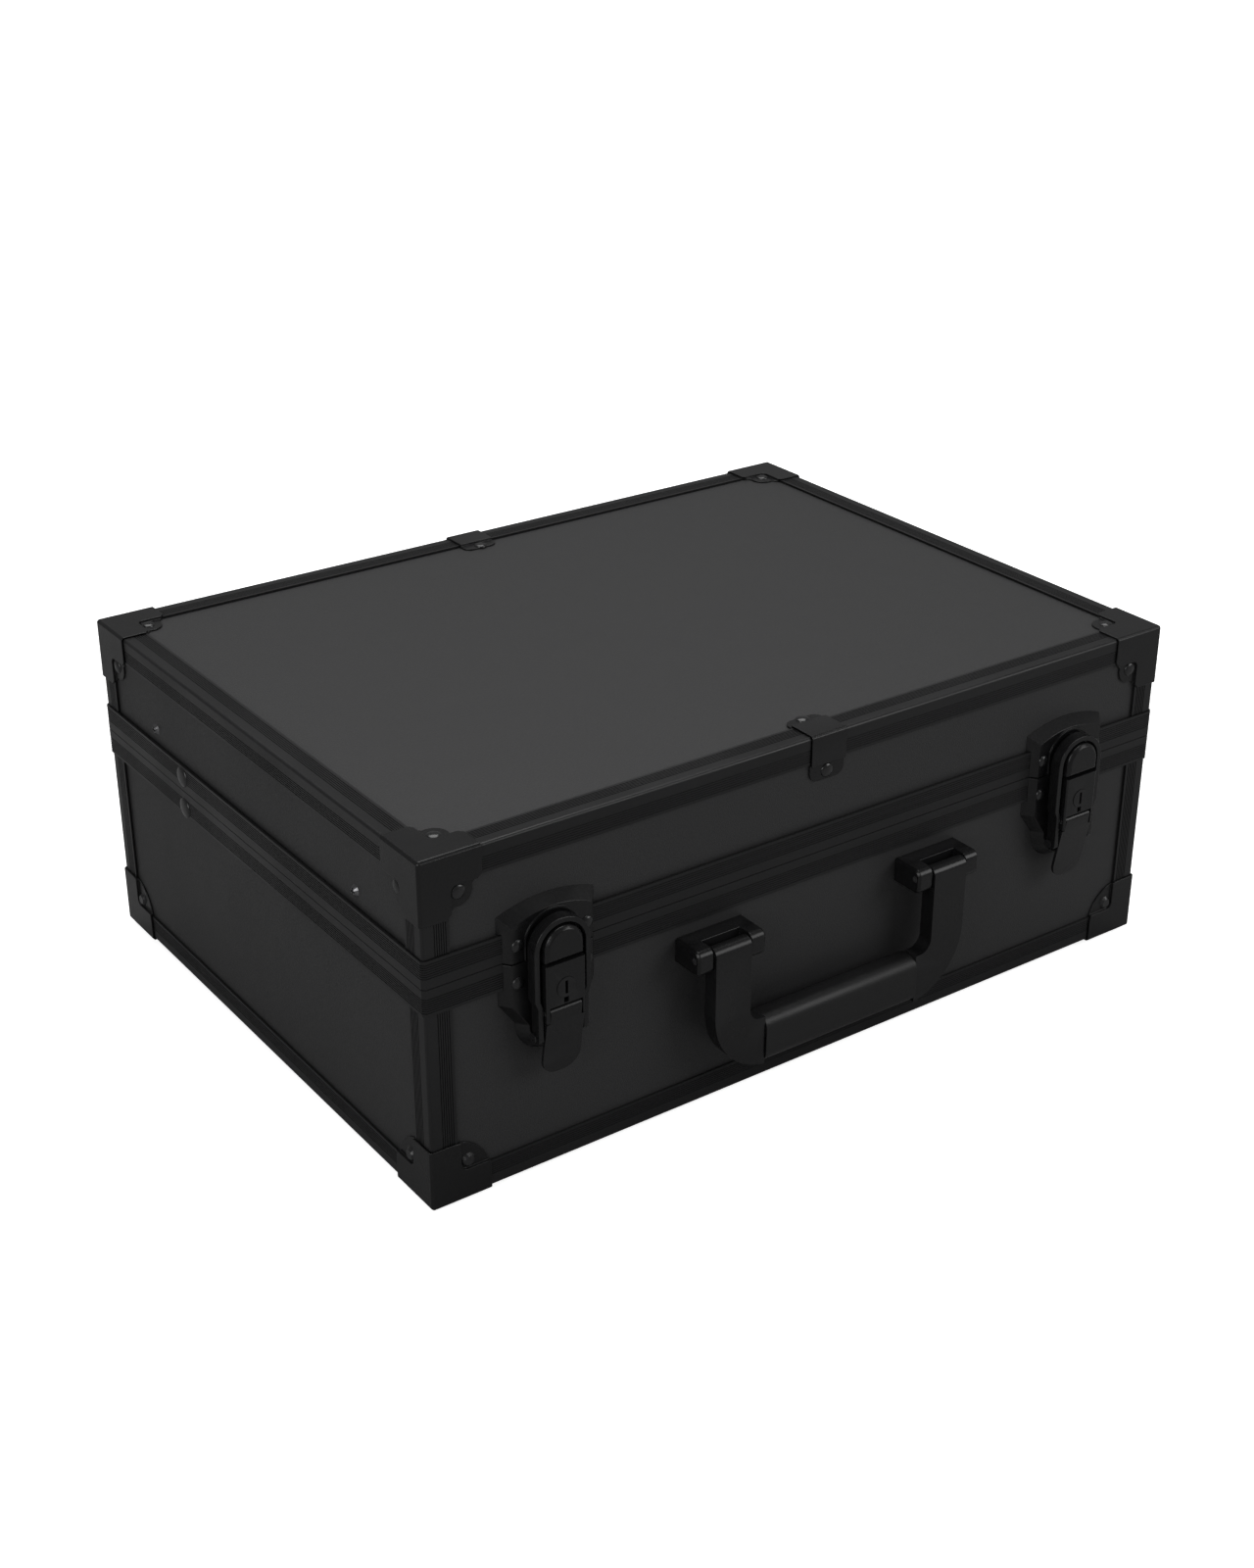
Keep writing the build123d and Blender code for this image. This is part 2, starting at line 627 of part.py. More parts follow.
def ends(depth, spots):
    """Places on both end walls."""
    return on(wall(-1, depth), spots) + on(wall(1, depth), spots)


cap_rivet = stud(BOARD_IN - CAP_SEAT)
far_rivet = stud(BOARD_IN - BOARD_OUT + LEAF_T)
near_rivet = stud(RIM_INNER_FACE - RIM_DEPTH + LEAF_T)
latch_rivet = stud(RIM_INNER_FACE + PLATE_RISE, LATCH_RIVET_HEAD_R)
side_screw = stud(BOARD_T + INSERT_BRACKET_T, SCREW_HEAD_R, SCREW_HEAD_H, SCREW_R)
foot_screw = stud(BOARD_IN + FOOT_DROP - FOOT_RECESS, SCREW_HEAD_R, SCREW_HEAD_H)
bracket_screw = stud(BOARD_T + BRACKET_RIVET_L, tail_r=RIVET_R)

with BuildPart() as lid_rivets:
    with Locations(*on(top(CAP_SEAT), flat_cap_spots + clamp_top_spots)):
        add(cap_rivet)
    with Locations(*on(front(CAP_SEAT), lid_long_spots + [clamp_wall_spot])):
        add(cap_rivet)
    with Locations(*on(back(CAP_SEAT), lid_long_spots + [clamp_wall_spot])):
        add(cap_rivet)
    with Locations(*ends(CAP_SEAT, lid_short_spots)):
        add(cap_rivet)
    with Locations(*on(back(BOARD_OUT - LEAF_T), [(x, LEAF_FAR_RIVET) for x in leaf_far_x])):
        add(far_rivet)
    with Locations(*on(back(RIM_DEPTH - LEAF_T), [(x, LEAF_NEAR_RIVET) for x in leaf_near_x])):
        add(near_rivet)
save(lid_rivets.part, "lid_rivets")

with BuildPart() as base_rivets:
    with Locations(*on(bottom(CAP_SEAT), flat_cap_spots)):
        add(cap_rivet)
    with Locations(*on(front(CAP_SEAT), base_long_spots), *on(back(CAP_SEAT), base_long_spots)):
        add(cap_rivet)
    with Locations(*ends(CAP_SEAT, base_short_spots)):
        add(cap_rivet)
    with Locations(*on(back(BOARD_OUT - LEAF_T), [(x, -LEAF_FAR_RIVET) for x in leaf_far_x])):
        add(far_rivet)
    with Locations(*on(back(RIM_DEPTH - LEAF_T), [(x, -LEAF_NEAR_RIVET) for x in leaf_near_x])):
        add(near_rivet)
    with Locations(*[spot * Rotation(180, 0, 0) for spot in on(front(BOARD_IN), bracket_screw_spots)]):
        add(bracket_screw)
save(base_rivets.part, "base_rivets")

with BuildPart() as lid_latch_rivets:
    with Locations(*on(front(-PLATE_RISE), strike_spots)):
        add(latch_rivet)
save(lid_latch_rivets.part, "lid_latch_rivets")

with BuildPart() as base_latch_rivets:
    with Locations(*on(front(-PLATE_RISE), base_plate_spots)):
        add(latch_rivet)
save(base_latch_rivets.part, "base_latch_rivets")

# Small angle brackets behind the side panels of the lid
with BuildPart() as lid_insert_brackets:
    for side in (-1, 1):
        with BuildSketch(wall(side, BOARD_IN)):
            with Locations(*[(x, SIDE_SCREW_LEVEL) for x, level in screw_spots]):
                Rectangle(INSERT_BRACKET_W, INSERT_BRACKET_H)
                RegularPolygon(SCREW_R + HOLE_PLAY, SHANK_SIDES, mode=Mode.SUBTRACT)
        extrude(amount=-INSERT_BRACKET_T)
        with BuildSketch(wall(side, BOARD_IN)):
            with Locations(*[(x, SIDE_SCREW_LEVEL + INSERT_BRACKET_H / 2) for x, level in screw_spots]):
                Rectangle(INSERT_BRACKET_W, INSERT_BRACKET_T, align=(Align.CENTER, Align.MAX))
        extrude(amount=-BRACKET_LEG)
save(lid_insert_brackets.part, "lid_insert_brackets")

with BuildPart() as lid_panel_screws:
    with Locations(*ends(BOARD_OUT, screw_spots)):
        add(side_screw)
    for side in (-1, 1):
        with BuildSketch(wall(side, BOARD_OUT - SCREW_HEAD_H)):
            with Locations(*screw_spots):
                Rectangle(CROSS_L, CROSS_W)
                Rectangle(CROSS_W, CROSS_L)
        extrude(amount=-CROSS_DEPTH, mode=Mode.SUBTRACT)
save(lid_panel_screws.part, "lid_panel_screws")


def tray(low, high, floor_low, openings=()):
    """A soft lining with four walls and a floor, in case levels."""
    walls_low = PARTING + low
    with BuildPart() as piece:
        with BuildSketch(Plane((0, Y_MID, walls_low))):
            Rectangle(CASE_W - 2 * LINING_OUT, CASE_D - 2 * LINING_OUT)
        extrude(amount=high - low)
        hollow_low = PARTING + (low if floor_low is None else floor_low)
        with BuildSketch(Plane((0, Y_MID, hollow_low))):
            Rectangle(CASE_W - 2 * LINING_OUT - 2 * LINING_T, CASE_D - 2 * LINING_OUT - 2 * LINING_T)
        extrude(amount=high - low - LINING_T, mode=Mode.SUBTRACT)
        for side, x in openings:
            with BuildSketch(wall(side)):
                with Locations((x, low)):
                    Rectangle(INSERT_BRACKET_W + 2 * NOTCH_PLAY, 2 * (SIDE_SCREW_LEVEL + INSERT_BRACKET_H / 2 + NOTCH_PLAY - low))
            extrude(amount=-LINING_OUT - LINING_T - 1, mode=Mode.SUBTRACT)
    return piece.part


LINING_TOP = LID_H - LINING_OUT
LINING_LOW = LID_RIM_TOP + LINING_RIM_GAP
notches = [(side, x) for side in (-1, 1) for x, level in screw_spots]
save(tray(LINING_LOW, LINING_TOP, None, notches), "lid_lining")
base_lining_low = LINING_OUT - BASE_H
save(tray(base_lining_low, -BASE_RIM_H - LINING_RIM_GAP, base_lining_low + LINING_T), "base_lining")

# Rubber feet with their screws
foot_height = FOOT_DROP + BOARD_OUT
with BuildPart() as feet:
    with BuildSketch(Plane((0, Y_MID, foot_height))):
        with Locations(*foot_spots):
            Circle(FOOT_R)
    extrude(amount=-foot_height, taper=degrees(atan2(FOOT_TAPER, foot_height)))
    with BuildSketch(Plane((0, Y_MID, 0))):
        with Locations(*foot_spots):
            Circle(FOOT_RECESS_R)
    extrude(amount=FOOT_RECESS, mode=Mode.SUBTRACT)
    with BuildSketch(Plane((0, Y_MID, 0))):
        with Locations(*foot_spots):
            shank_hole()
    extrude(amount=foot_height, mode=Mode.SUBTRACT)
save(feet.part, "feet")
with BuildPart() as foot_screws:
    with Locations(*on(bottom(FOOT_RECESS - FOOT_DROP), foot_spots)):
        add(foot_screw)
save(foot_screws.part, "foot_screws")


def leaf(up):
    """Both leaves of one kind, 1 for the lid's and -1 for the base's, with their rolled knuckles."""
    rim_h = LID_RIM_TOP if up == 1 else BASE_RIM_H
    low = PARTING_GAP if up == 1 else 0
    step = HINGE_W / KNUCKLES
    clear = KNUCKLE_R + KNUCKLE_CLEAR
    with BuildPart() as leaves:
        for centre in leaf_near_x:
            with BuildSketch(back_section(centre - HINGE_W / 2)):
                with BuildLine():
                    Polyline((-RIM_DEPTH, up * low), (LEAF_T - RIM_DEPTH, up * low),
                             (LEAF_T - RIM_DEPTH, up * (rim_h + LEAF_T)), (LEAF_T - BOARD_OUT, up * (rim_h + LEAF_T)),
                             (LEAF_T - BOARD_OUT, up * LEAF_H), (-BOARD_OUT, up * LEAF_H),
                             (-BOARD_OUT, up * (rim_h + BUTT_GAP)), (-RIM_DEPTH, up * (rim_h + BUTT_GAP)), close=True)
                make_face()
            extrude(amount=HINGE_W)
        own = [k for k in range(KNUCKLES) if (k % 2 == 0) == (up == -1)]
        for k in range(KNUCKLES):
            spots = [(c - HINGE_W / 2 + (k + 0.5) * step, 0) for c in leaf_near_x]
            if k in own:
                for x, level in spots:
                    with BuildSketch(back_section(x - step / 2 + KNUCKLE_GAP / 2)):
                        with Locations((HINGE_PIN_RISE, 0)):
                            Circle(KNUCKLE_R)
                    extrude(amount=step - KNUCKLE_GAP)
            else:
                with BuildSketch(back(KNUCKLE_CLEAR)):
                    with Locations(*spots):
                        Rectangle(step + KNUCKLE_GAP, 2 * clear)
                extrude(amount=2 * KNUCKLE_R, mode=Mode.SUBTRACT)
        for centre in leaf_near_x:
            with BuildSketch(back_section(centre - HINGE_W / 2)):
                with Locations((HINGE_PIN_RISE, 0)):
                    Circle(HINGE_PIN_R + PIN_PLAY)
            extrude(amount=HINGE_W, mode=Mode.SUBTRACT)
        holes = [(x, up * LEAF_FAR_RIVET) for x in leaf_far_x] + [(x, up * LEAF_NEAR_RIVET) for x in leaf_near_x]
        with BuildSketch(back(BOARD_OUT)):
            with Locations(*holes):
                shank_hole()
        extrude(amount=2 * BOARD_OUT, mode=Mode.SUBTRACT)
    return leaves.part


save(leaf(1), "lid_hinge_leaves")
save(leaf(-1), "base_hinge_leaves")
with BuildPart() as hinge_pins:
    for centre in leaf_near_x:
        with BuildSketch(back_section(centre - HINGE_W / 2)):
            with Locations((HINGE_PIN_RISE, 0)):
                Circle(HINGE_PIN_R)
        extrude(amount=HINGE_W)
save(hinge_pins.part, "hinge_pins")


def plate_outline(inset=0.0):
    """The pressed latch plate's outline: an arch over the strike and a waist down to a round tail."""
    w = PLATE_W / 2 - inset
    low = PLATE_LOW_W / 2 - inset
    rise = PLATE_TOP - inset
    drop = inset - PLATE_BOTTOM
    with BuildLine() as outline:
        Line((w, -PLATE_WAIST_START), (w, PLATE_SHOULDER - inset))
        ThreePointArc((w, PLATE_SHOULDER - inset), (0, rise), (-w, PLATE_SHOULDER - inset))
        Line((-w, PLATE_SHOULDER - inset), (-w, -PLATE_WAIST_START))
        Line((-w, -PLATE_WAIST_START), (-low, -PLATE_WAIST_END))
        ThreePointArc((-low, -PLATE_WAIST_END), (0, drop), (low, -PLATE_WAIST_END))
        Line((low, -PLATE_WAIST_END), (w, -PLATE_WAIST_START))
    return outline.line


def latch_plate(x):
    """The whole pressed plate at x, before it is parted between lid and base."""
    with BuildPart() as plate:
        with BuildSketch(front(BOARD_OUT, x)):
            add(plate_outline())
            make_face()
        with BuildSketch(front(-PLATE_RISE, x)):
            add(plate_outline(PLATE_FLANK))
            make_face()
        loft(ruled=True)
        with BuildSketch(front(BOARD_OUT, x)):
            add(plate_outline(PLATE_T))
            make_face()
        with BuildSketch(front(PLATE_T - PLATE_RISE, x)):
            add(plate_outline(PLATE_FLANK + PLATE_T))
            make_face()
        loft(ruled=True, mode=Mode.SUBTRACT)
        with BuildSketch(front(RIM_DEPTH, x)):
            with Locations((0, -BASE_RIM_H - RIM_PLAY)):
                Rectangle(PLATE_W + 2, BASE_RIM_H + LID_RIM_TOP + 2 * RIM_PLAY, align=(Align.CENTER, Align.MIN))
        extrude(amount=RIM_DEPTH - BOARD_OUT, mode=Mode.SUBTRACT)
        with BuildSketch(front(0, x)):
            with Locations(*[(s * LATCH_RIVET_X, y) for s in (-1, 1) for y in (STRIKE_RIVET_LEVEL, BASE_RIVET_LEVEL)]):
                shank_hole()
        extrude(amount=PLATE_RISE, mode=Mode.SUBTRACT)
    return plate.part


def arch(width, low, high):
    """A flat-footed arch on the latch's centre line, between two levels."""
    r = width / 2
    with Locations((0, high - r)):
        Circle(r)
    with Locations((0, low)):
        Rectangle(width, high - r - low, align=(Align.CENTER, Align.MIN))
        Rectangle(2 * width, 2 * width, align=(Align.CENTER, Align.MAX), mode=Mode.SUBTRACT)


def cross(rise, level, x, from_plane):
    """A plane across a latch that starts at a distance from its centre, with its origin at a rise and level."""
    return Plane((x + from_plane, Y_FRONT - rise, PARTING + level), x_dir=(0, -1, 0), z_dir=(-1, 0, 0))


def latch(x, name):
    """One draw latch: split plate, catch, lock housing, lever, bail, cylinder and their pins."""
    whole = latch_plate(x)
    with BuildPart() as strike:
        add(whole)
        split(bisect_by=Plane.XY.offset(PARTING + PARTING_GAP), keep=Keep.TOP)
        with BuildSketch(front(-PLATE_RISE, x)):
            arch(CATCH_W + 2 * RIDGE_SET, PARTING_GAP, CATCH_TOP + RIDGE_SET)
            with Locations((0, PARTING_GAP + CATCH_FOOT + 8)):
                Rectangle(2 * LATCH_RIVET_X - 2 * LATCH_RIVET_HEAD_R - 1, 40, mode=Mode.INTERSECT)
            with Locations((0, CATCH_TOP - CATCH_W / 2)):
                Circle(CATCH_W / 2 + RIDGE_SET - RIDGE_W, mode=Mode.SUBTRACT)
            with Locations((0, PARTING_GAP)):
                Rectangle(2 * (CATCH_W / 2 + RIDGE_SET - RIDGE_W), CATCH_TOP - CATCH_W / 2 - PARTING_GAP,
                          align=(Align.CENTER, Align.MIN), mode=Mode.SUBTRACT)
        extrude(amount=RIDGE_H)
    save(strike.part, f"{name}_latch_strike")

    with BuildPart() as base_plate:
        add(whole)
        split(bisect_by=Plane.XY.offset(PARTING - PLATE_SPLIT), keep=Keep.BOTTOM)
    save(base_plate.part, f"{name}_latch_base_plate")

    with BuildPart() as catch:
        with BuildSketch(front(-PLATE_RISE, x)):
            arch(CATCH_W, CATCH_FOOT, CATCH_TOP)
        extrude(amount=LOCK_RISE - PLATE_RISE)
        chamfer(faces().sort_by(Axis.Y)[0].edges(), CATCH_BEVEL)
        with BuildSketch(front(-PLATE_RISE, x)):
            arch(CATCH_W - 2 * LOCK_T, CATCH_FOOT + LOCK_T, CATCH_TOP - LOCK_T)
        extrude(amount=LOCK_RISE - PLATE_RISE - CATCH_BEVEL - LOCK_T, mode=Mode.SUBTRACT)
    save(catch.part, f"{name}_latch_catch")

    height = LOCK_BOTTOM - LOCK_TOP
    inside_w = LOCK_W - 2 * LOCK_CHEEK_T
    with BuildPart() as housing:
        with BuildSketch(front(-PLATE_RISE, x)):
            with Locations((0, -LOCK_TOP)):
                Rectangle(LOCK_W, LOCK_CHEEK - LOCK_TOP, align=(Align.CENTER, Align.MAX))
        extrude(amount=LOCK_RISE - PLATE_RISE)
        fillet(edges().filter_by(Axis.Z).sort_by(Axis.Y)[:2], LOCK_EDGE_R)
        with BuildSketch(front(-PLATE_RISE, x)):
            with Locations((0, -LOCK_TOP - LOCK_T)):
                Rectangle(inside_w, LOCK_CHEEK, align=(Align.CENTER, Align.MAX))
        extrude(amount=LOCK_RISE - PLATE_RISE - LOCK_T, mode=Mode.SUBTRACT)
        with BuildSketch(front(-PLATE_RISE, x)):
            with Locations((0, -LOCK_BOTTOM)):
                Rectangle(inside_w, LOCK_CHEEK, align=(Align.CENTER, Align.MAX))
        extrude(amount=LOCK_RISE, mode=Mode.SUBTRACT)
        with BuildSketch(front(-PLATE_RISE, x)):
            with Locations((0, CYLINDER_LEVEL)):
                Circle(CYLINDER_R + HOLE_PLAY)
            with Locations((0, CYLINDER_LEVEL - CYLINDER_R)):
                Rectangle(LOCK_MARK_W, 2 * LOCK_MARK_H)
        extrude(amount=LOCK_RISE, mode=Mode.SUBTRACT)
        with BuildSketch(cross(LEVER_PIVOT_RISE, LEVER_PIVOT_LEVEL, x, LOCK_W / 2)):
            Circle(LEVER_PIN_R + HOLE_PLAY)
        extrude(amount=LOCK_W, mode=Mode.SUBTRACT)
    save(housing.part, f"{name}_lock_housing")

    with BuildPart() as cylinder:
        with BuildSketch(front(-LOCK_RISE - CYLINDER_PROUD, x)):
            with Locations((0, CYLINDER_LEVEL)):
                Circle(CYLINDER_R)
        extrude(amount=-CYLINDER_L)
        with BuildSketch(front(-LOCK_RISE - CYLINDER_PROUD, x)):
            with Locations((0, CYLINDER_LEVEL)):
                Rectangle(KEYWAY_W, KEYWAY_H)
        extrude(amount=-KEYWAY_DEPTH, mode=Mode.SUBTRACT)
        with BuildSketch(front(CYLINDER_L - LOCK_RISE - CYLINDER_PROUD, x)):
            with Locations((0, CYLINDER_LEVEL)):
                SlotCenterToCenter(CAM_REACH, CAM_W)
        extrude(amount=-CAM_T)
    save(cylinder.part, f"{name}_lock_cylinder")

    neck = LOCK_CHEEK + CHEEK_PLAY + LEVER_PIVOT_LEVEL
    with BuildPart() as lever:
        with BuildSketch(cross(LEVER_PIVOT_RISE, LEVER_PIVOT_LEVEL, x, LEVER_W / 2)):
            with BuildLine():
                Polyline((-LEVER_T, 0), (LEVER_ROLL_R, 0), (LEVER_ROLL_R - LEVER_NECK_IN, -neck),
                         (LEVER_ROLL_R - LEVER_BEND, -LEVER_CREASE - neck),
                         (LEVER_ROLL_R - LEVER_BEND - LEVER_SLOPE, -LEVER_DROP),
                         (LEVER_ROLL_R - LEVER_BEND - LEVER_SLOPE - LEVER_T, -LEVER_DROP),
                         (LEVER_ROLL_R - LEVER_BEND - LEVER_T, -LEVER_CREASE - neck),
                         (LEVER_ROLL_R - LEVER_NECK_IN - LEVER_T, -neck), close=True)
            make_face()
            Circle(LEVER_ROLL_R)
        extrude(amount=LEVER_W)
        fillet(edges().filter_by(Axis.Y).sort_by(Axis.Z)[:2], LEVER_END_R)
        for start in (LEVER_W / 2, LEVER_EAR_T - LEVER_W / 2):
            with BuildSketch(cross(LEVER_PIVOT_RISE, LEVER_PIVOT_LEVEL, x, start)):
                with BuildLine():
                    Polyline((LEVER_ROLL_R - LEVER_T, -neck), (-BAIL_PIN_IN + EAR_R, -BAIL_PIN_DROP - EAR_R),
                             (-BAIL_PIN_IN - EAR_R, -BAIL_PIN_DROP), (-BAIL_PIN_IN, -BAIL_PIN_DROP + EAR_R),
                             (LEVER_EAR_ROOT, -neck), close=True)
                make_face()
                with Locations((-BAIL_PIN_IN, -BAIL_PIN_DROP)):
                    Circle(EAR_R)
            extrude(amount=LEVER_EAR_T)
        with BuildSketch(front(0, x)):
            with Locations((LEVER_NECK_W / 2, LEVER_PIVOT_LEVEL - neck)):
                Rectangle(LEVER_W, 2 * neck + 4, align=(Align.MIN, Align.MIN))
            with Locations((-LEVER_NECK_W / 2, LEVER_PIVOT_LEVEL - neck)):
                Rectangle(LEVER_W, 2 * neck + 4, align=(Align.MAX, Align.MIN))
        extrude(amount=LOCK_RISE * 2, mode=Mode.SUBTRACT)
        with BuildSketch(cross(LEVER_PIVOT_RISE, LEVER_PIVOT_LEVEL, x, LOCK_W)):
            Circle(LEVER_PIN_R + PIN_PLAY)
            with Locations((-BAIL_PIN_IN, -BAIL_PIN_DROP)):
                Circle(BAIL_PIN_R + HOLE_PLAY)
        extrude(amount=2 * LOCK_W, mode=Mode.SUBTRACT)
    save(lever.part, f"{name}_latch_lever")

    pin_level = LEVER_PIVOT_LEVEL - BAIL_PIN_DROP
    pin_rise = LEVER_PIVOT_RISE - BAIL_PIN_IN
    eye_in = LEVER_W / 2 + BAIL_SIDE_PLAY
    eye_out = eye_in + BAIL_ROD
    loop_in = CATCH_W / 2 + BAIL_ARCH_PLAY
    loop_out = loop_in + BAIL_ROD
    loop_level = CATCH_TOP + BAIL_TOP_PLAY - loop_in
    with BuildPart() as bail:
        with BuildSketch(front(-pin_rise - BAIL_FRONT, x)):
            with Locations((0, loop_level)):
                Circle(loop_out)
                Rectangle(2 * loop_out, loop_out, align=(Align.CENTER, Align.MAX))
            with Locations((0, loop_level)):
                Circle(loop_in, mode=Mode.SUBTRACT)
                Rectangle(2 * loop_in, loop_out, align=(Align.CENTER, Align.MAX), mode=Mode.SUBTRACT)
            for s in (-1, 1):
                with BuildLine():
                    Polyline((s * loop_in, loop_level - 1), (s * loop_out, loop_level - 1),
                             (s * loop_out, pin_level + BAIL_KINK + BAIL_JOGGLE), (s * eye_out, pin_level + BAIL_KINK),
                             (s * eye_out, pin_level - EAR_R), (s * eye_in, pin_level - EAR_R),
                             (s * eye_in, pin_level + BAIL_KINK), (s * loop_in, pin_level + BAIL_KINK + BAIL_JOGGLE), close=True)
                make_face()
        extrude(amount=-BAIL_DEPTH)
        fillet(edges().filter_by(Axis.X).sort_by(Axis.Z)[:4], BAIL_DEPTH / 2 - 0.6)
        with BuildSketch(cross(pin_rise, pin_level, x, LOCK_W)):
            Circle(BAIL_PIN_R + PIN_PLAY)
        extrude(amount=2 * LOCK_W, mode=Mode.SUBTRACT)
    save(bail.part, f"{name}_latch_bail")

    with BuildPart() as bail_rivets:
        for s in (-1, 1):
            head = Plane((x + s * (eye_out + BAIL_HEAD_PLAY), Y_FRONT - pin_rise, PARTING + pin_level), z_dir=(s, 0, 0))
            with BuildSketch(head):
                Circle(BAIL_HEAD_R)
            extrude(amount=BAIL_HEAD_H)
            with BuildSketch(head):
                Circle(BAIL_PIN_R)
            extrude(amount=-(eye_out + BAIL_HEAD_PLAY - LEVER_W / 2 + LEVER_EAR_T))
            with BuildSketch(head.offset(-(eye_out + BAIL_HEAD_PLAY - LEVER_W / 2 + LEVER_EAR_T))):
                Circle(BAIL_TAIL_R)
            extrude(amount=-BAIL_TAIL_H)
    save(bail_rivets.part, f"{name}_bail_rivets")


latch(-LATCH_X, "left")
latch(LATCH_X, "right")

with BuildPart() as latch_lever_pins:
    for side in (-1, 1):
        with BuildSketch(cross(LEVER_PIVOT_RISE, LEVER_PIVOT_LEVEL, side * LATCH_X, LOCK_W / 2)):
            Circle(LEVER_PIN_R)
        extrude(amount=LOCK_W)
save(latch_lever_pins.part, "latch_lever_pins")


# Handle: two brackets, the frame with its arms, the pins and the crowned grip
def handle_bracket(x):
    """A bracket on the front board with a slot for one arm."""
    slot = ARM_W + 2 * ARM_SIDE_PLAY
    with BuildPart() as bracket:
        with BuildSketch(front(BOARD_OUT, x)):
            with Locations((0, -BRACKET_TOP)):
                Rectangle(BRACKET_W, BRACKET_H, align=(Align.CENTER, Align.MAX))
        extrude(amount=BOARD_OUT + BRACKET_RISE)
        fillet(edges().filter_by(Axis.X).sort_by(Axis.Y)[:2], BRACKET_NOSE_R)
        chamfer(edges().filter_by(Axis.Z).sort_by(Axis.Y)[:2], BRACKET_EDGE_R)
        with BuildSketch(front(-BRACKET_SLOT_RISE, x)):
            with Locations((0, -BRACKET_TOP + 1)):
                Rectangle(slot, BRACKET_H + 2, align=(Align.CENTER, Align.MAX))
        extrude(amount=BRACKET_RISE, mode=Mode.SUBTRACT)
        with BuildSketch(cross(HANDLE_PIVOT_RISE, -HANDLE_PIVOT_DROP, x, BRACKET_W / 2)):
            Circle(HANDLE_PIN_R + HOLE_PLAY)
        extrude(amount=BRACKET_W, mode=Mode.SUBTRACT)
        with BuildSketch(front(BOARD_OUT, x)):
            with Locations(*[(s * (BRACKET_W + ARM_W) / 4, BRACKET_SCREW_LEVEL) for s in (-1, 1)]):
                shank_hole()
        extrude(amount=BRACKET_RIVET_L + RIVET_TAIL_H + HOLE_PLAY, mode=Mode.SUBTRACT)
    return bracket.part


save(handle_bracket(-BRACKET_X), "left_handle_bracket")
save(handle_bracket(BRACKET_X), "right_handle_bracket")

with BuildPart() as handle_pins:
    for side in (-1, 1):
        with BuildSketch(cross(HANDLE_PIVOT_RISE, -HANDLE_PIVOT_DROP, side * BRACKET_X, BRACKET_W / 2)):
            Circle(HANDLE_PIN_R)
        extrude(amount=BRACKET_W)
save(handle_pins.part, "handle_pins")

arm_out = BRACKET_X + ARM_W / 2
arm_in = BRACKET_X - ARM_W / 2
arm_front = HANDLE_PIVOT_RISE + ARM_T / 2
grip_level = -HANDLE_DROP + BAR_H / 2
with BuildPart() as handle_frame:
    with BuildSketch(front(-arm_front)):
        with Locations((0, -HANDLE_DROP)):
            Rectangle(2 * arm_out, HANDLE_DROP - HANDLE_PIVOT_DROP + ARM_T / 2, align=(Align.CENTER, Align.MIN))
        fillet(vertices().group_by(Axis.Y)[0], HANDLE_CORNER_R)
        with Locations((0, -HANDLE_DROP + BAR_H)):
            Rectangle(2 * arm_in, HANDLE_DROP, align=(Align.CENTER, Align.MIN), mode=Mode.SUBTRACT)
        fillet(vertices().filter_by(lambda v: abs(abs(v.X) - arm_in) < 0.01).group_by(Axis.Y)[0], HANDLE_INNER_R)
    extrude(amount=-ARM_T)
    fillet(edges().filter_by(Axis.X).group_by(Axis.Z)[-1], (ARM_T - ARM_TOP_FLAT) / 2)
    for y in (grip_level + GRIP_H / 2 - GRIP_LIP, grip_level - GRIP_H / 2 + GRIP_LIP):
        with BuildSketch(front(-arm_front)):
            with Locations((0, y)):
                Rectangle(GRIP_W + 2 * GRIP_PLAY, BAR_H, align=(Align.CENTER, Align.MIN if y > grip_level else Align.MAX))
        extrude(amount=-ARM_T, mode=Mode.SUBTRACT)
    with BuildSketch(Plane((-arm_out, Y_FRONT - HANDLE_PIVOT_RISE, PARTING - HANDLE_PIVOT_DROP), z_dir=(1, 0, 0))):
        Circle(HANDLE_PIN_R + PIN_PLAY)
    extrude(amount=2 * arm_out, mode=Mode.SUBTRACT)
save(handle_frame.part, "handle_frame")

grip_mid = (GRIP_OUT + GRIP_BACK) / 2
with BuildPart() as handle_grip:
    with BuildSketch(cross(grip_mid, grip_level, 0, GRIP_W / 2)):
        RectangleRounded(GRIP_OUT - GRIP_BACK, GRIP_H, GRIP_ROUND)
    extrude(amount=GRIP_W)
    with BuildSketch(cross(HANDLE_PIVOT_RISE, grip_level, 0, GRIP_W / 2)):
        Rectangle(ARM_T + 2 * GRIP_PLAY, GRIP_H - 2 * GRIP_LIP + 2 * GRIP_PLAY)
    extrude(amount=GRIP_W, mode=Mode.SUBTRACT)
save(handle_grip.part, "handle_grip")

# Stays: a bar on the lid and a bar on the base for each end wall, meeting at an elbow towards the front
pivot_span = STAY_SET + HINGE_PIN_RISE
stay_gap = STAY_LID_LEVEL - STAY_BASE_LEVEL
fold = acos(stay_gap / (2 * STAY_BAR_L))
elbow_y = Y_BACK - STAY_SET - STAY_BAR_L * sin(fold)
elbow_z = PARTING + (STAY_LID_LEVEL + STAY_BASE_LEVEL) / 2
LID_BAR_OUT = RIM_INNER_FACE + STAY_PLAY
BASE_BAR_OUT = LID_BAR_OUT + STAY_BAR_T + STAY_PLAY


